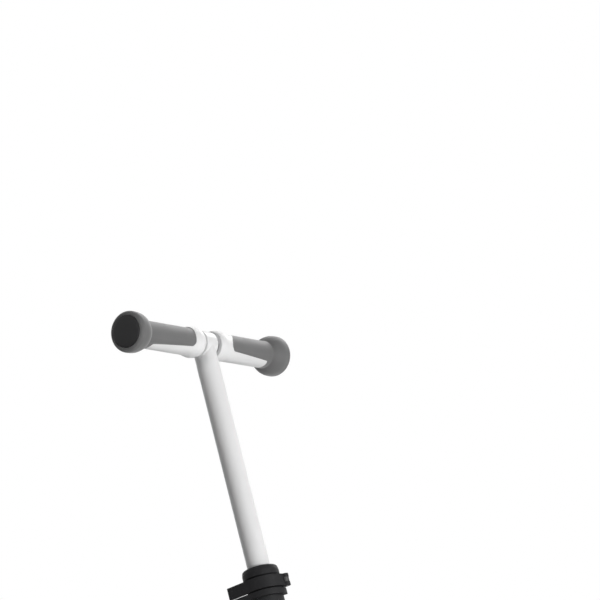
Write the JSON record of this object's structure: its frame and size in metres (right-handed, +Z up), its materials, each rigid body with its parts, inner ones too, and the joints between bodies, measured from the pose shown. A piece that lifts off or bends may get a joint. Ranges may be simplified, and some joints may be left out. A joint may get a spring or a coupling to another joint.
{
  "type": "kick scooter",
  "caption": "Lean-to-steer kick scooter: paired front wheels on a rocker linkage, a braked rear wheel, a slim deck and a T-handlebar on a clamped telescopic stem.",
  "frame": {"origin": "on the ground under the middle of the scooter's overall length and width", "axes": "+X forward, +Y to the rider's left, +Z up"},
  "size_m": [0.5658, 0.2872, 0.703],
  "materials": {
    "white_paint": "gloss white powder coat",
    "black_paint": "satin black powder coat",
    "white_plastic": "moulded white plastic",
    "grey_plastic": "moulded grey glass-filled nylon",
    "black_plastic": "moulded black glass-filled nylon",
    "dark_plastic": "moulded charcoal plastic",
    "grip_rubber": "soft grey thermoplastic rubber",
    "grey_rubber": "matt rubber",
    "tyre": "cast grey polyurethane",
    "nylon": "natural nylon bushes",
    "steel": "zinc-plated steel"
  },
  "bodies": {
    "chassis": {"deck": "grey_plastic", "grip_mat": "grey_rubber", "nose_cover": "white_plastic", "rocker_pin": "steel", "kingpin_left": "steel", "kingpin_right": "steel", "kingpin_nut_left": "steel", "kingpin_nut_right": "steel", "centring_buffer_left": "grey_rubber", "centring_buffer_right": "grey_rubber", "rear_axle": "steel", "rear_axle_nut": "steel", "brake_pin": "steel", "brake_spring": "steel"},
    "column": {"steering_rocker": "black_plastic", "rocker_bush_front": "nylon", "rocker_bush_rear": "nylon", "lower_tube": "black_paint", "clamp_body": "black_plastic", "clamp_bolt": "steel", "clamp_nut": "steel", "lever_pin": "steel", "cam_saddle": "nylon", "button_spring": "steel"},
    "button": {"release_button": "grey_plastic"},
    "lever": {"clamp_lever": "black_plastic"},
    "handlebar": {"upper_tube": "white_paint", "tube_plug": "dark_plastic", "cross_bar": "steel", "grip_core_left": "white_plastic", "grip_core_right": "white_plastic", "grip_left": "grip_rubber", "grip_right": "grip_rubber", "end_cap_left": "dark_plastic", "end_cap_right": "dark_plastic"},
    "track_rod": {"tie_rod": "steel"},
    "steering_left": {"knuckle_left": "black_plastic", "kingpin_bush_left": "nylon", "front_axle_left": "steel"},
    "steering_right": {"knuckle_right": "black_plastic", "kingpin_bush_right": "nylon", "front_axle_right": "steel"},
    "wheel_left": {"front_tyre_left": "tyre", "front_hub_left": "white_plastic", "outer_bearing_left": "steel", "inner_bearing_left": "steel", "bearing_spacer_left": "steel"},
    "wheel_right": {"front_tyre_right": "tyre", "front_hub_right": "white_plastic", "outer_bearing_right": "steel", "inner_bearing_right": "steel", "bearing_spacer_right": "steel"},
    "wheel_rear": {"rear_tyre": "tyre", "rear_hub": "white_plastic", "rear_bearing_left": "steel", "rear_bearing_right": "steel", "rear_spacer": "steel"},
    "brake": {"brake_fender": "black_plastic", "brake_pad": "steel"}
  },
  "joints": [
    {"name": "lean_steer", "type": "hinge", "parent": "chassis", "child": "column", "pos_m": [0.2069, 0, 0.0774], "axis": [1, 0, 0], "range_deg": [-12, 12], "stiffness_Nm_per_rad": 24, "deforming": ["centring_buffer_left", "centring_buffer_right"]},
    {"name": "steer_left", "type": "hinge", "parent": "chassis", "child": "steering_left", "pos_m": [0.2289, 0.062, 0.06], "axis": [0, 0, 1], "range_deg": [-15, 15]},
    {"name": "steer_right", "type": "hinge", "parent": "chassis", "child": "steering_right", "pos_m": [0.2289, -0.062, 0.06], "axis": [0, 0, 1], "range_deg": [-15, 15]},
    {"name": "track_rod_shift", "type": "slide", "parent": "chassis", "child": "track_rod", "axis": [0, 1, 0], "range_m": [-0.00576, 0.00576]},
    {"name": "left_wheel_spin", "type": "hinge", "parent": "steering_left", "child": "wheel_left", "pos_m": [0.2229, 0.108, 0.06], "axis": [0, 1, 0], "continuous": true},
    {"name": "right_wheel_spin", "type": "hinge", "parent": "steering_right", "child": "wheel_right", "pos_m": [0.2229, -0.108, 0.06], "axis": [0, 1, 0], "continuous": true},
    {"name": "rear_wheel_spin", "type": "hinge", "parent": "chassis", "child": "wheel_rear", "pos_m": [-0.2251, 0, 0.04], "axis": [0, 1, 0], "continuous": true},
    {"name": "brake_press", "type": "hinge", "parent": "chassis", "child": "brake", "pos_m": [-0.1781, 0, 0.0677], "axis": [0, -1, 0], "range_deg": [0, 4.5], "stiffness_Nm_per_rad": 1.2, "springref_deg": -11.46, "deforming": ["brake_spring"]},
    {"name": "handlebar_height", "type": "slide", "parent": "column", "child": "handlebar", "axis": [-0.2924, 0, 0.9563], "range_m": [-0.16, 0]},
    {"name": "clamp_lever_open", "type": "hinge", "parent": "column", "child": "lever", "pos_m": [0.12903, 0.00827, 0.41507], "axis": [-0.2924, 0, 0.9563], "range_deg": [0, 110]},
    {"name": "release_button_press", "type": "slide", "parent": "column", "child": "button", "axis": [-0.9563, 0, -0.2924], "range_m": [0, 0.003], "stiffness_N_per_m": 800, "springref_m": -0.002, "deforming": ["button_spring"]}
  ],
  "couplings": [
    {"joint": "steer_left", "follows": "lean_steer", "ratio": -1.25},
    {"joint": "steer_right", "follows": "lean_steer", "ratio": -1.25},
    {"joint": "track_rod_shift", "follows": "lean_steer", "m_per_rad": 0.0275}
  ]
}
